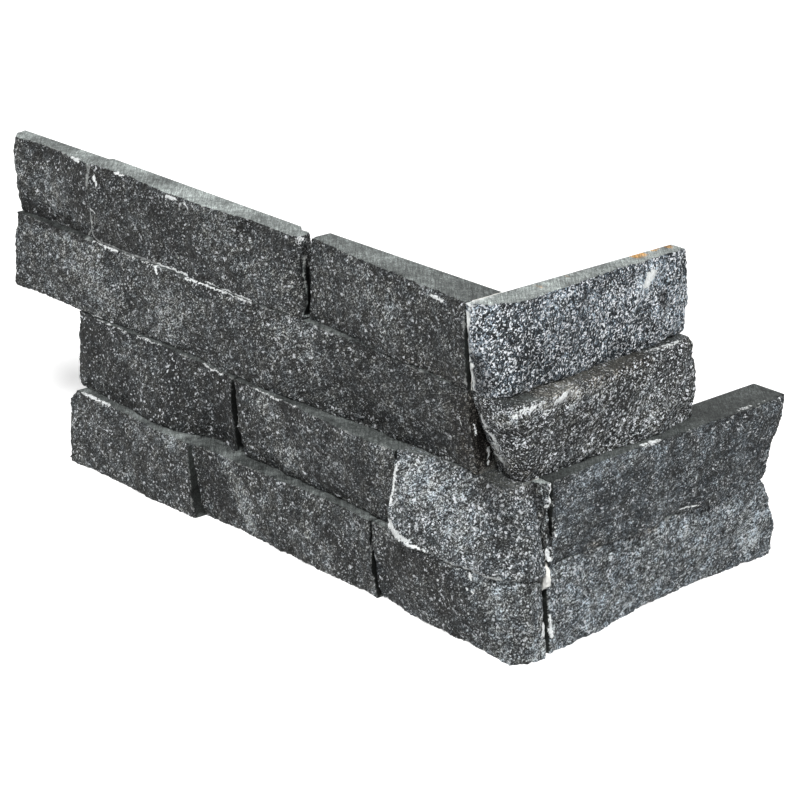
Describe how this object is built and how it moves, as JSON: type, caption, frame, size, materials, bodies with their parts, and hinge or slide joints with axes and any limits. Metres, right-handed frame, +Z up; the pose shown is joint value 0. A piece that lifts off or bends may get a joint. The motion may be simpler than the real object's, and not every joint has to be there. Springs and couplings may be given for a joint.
{
  "type": "stone cladding corner piece",
  "caption": "L-shaped corner panel of split-face dark stone strips bonded in staggered courses whose ends interlock, with flat sawn backs.",
  "frame": {"origin": "foot of the inside corner, where the planes of the two flat backs meet at the bottom of the lowest course", "axes": "+Z up; the long leg runs along -X with its split face toward -Y, the short leg runs along +Y with its split face toward +X"},
  "size_m": [0.3724, 0.1804, 0.1524],
  "materials": {
    "dark_stone": "split face, charcoal grey with fine mica sparkle; sawn faces smooth and grey-green",
    "bright_stone": "split face, bluish grey with coarse bright mica",
    "light_stone": "split face, lighter grey with pale chipped edges",
    "fine_stone": "fine-grained split face, dark green-grey",
    "glue": "hardened cream-white adhesive, matt"
  },
  "bodies": {
    "root": {"corner_sliver": "light_stone", "course1_left_stone_a": "dark_stone", "course1_left_stone_b": "dark_stone", "course1_left_stone_c": "dark_stone", "course1_right_stone": "bright_stone", "course2_left_stone": "dark_stone", "course2_right_stone": "dark_stone", "course3_left_stone_a": "dark_stone", "course3_left_stone_b": "dark_stone", "course3_left_stone_c": "light_stone", "course3_right_stone": "fine_stone", "course4_left_stone_a": "dark_stone", "course4_left_stone_b": "dark_stone", "course4_left_stone_c": "dark_stone", "course4_right_stone": "dark_stone", "lower_corner_glue": "glue", "upper_corner_glue": "glue"}
  },
  "joints": []
}
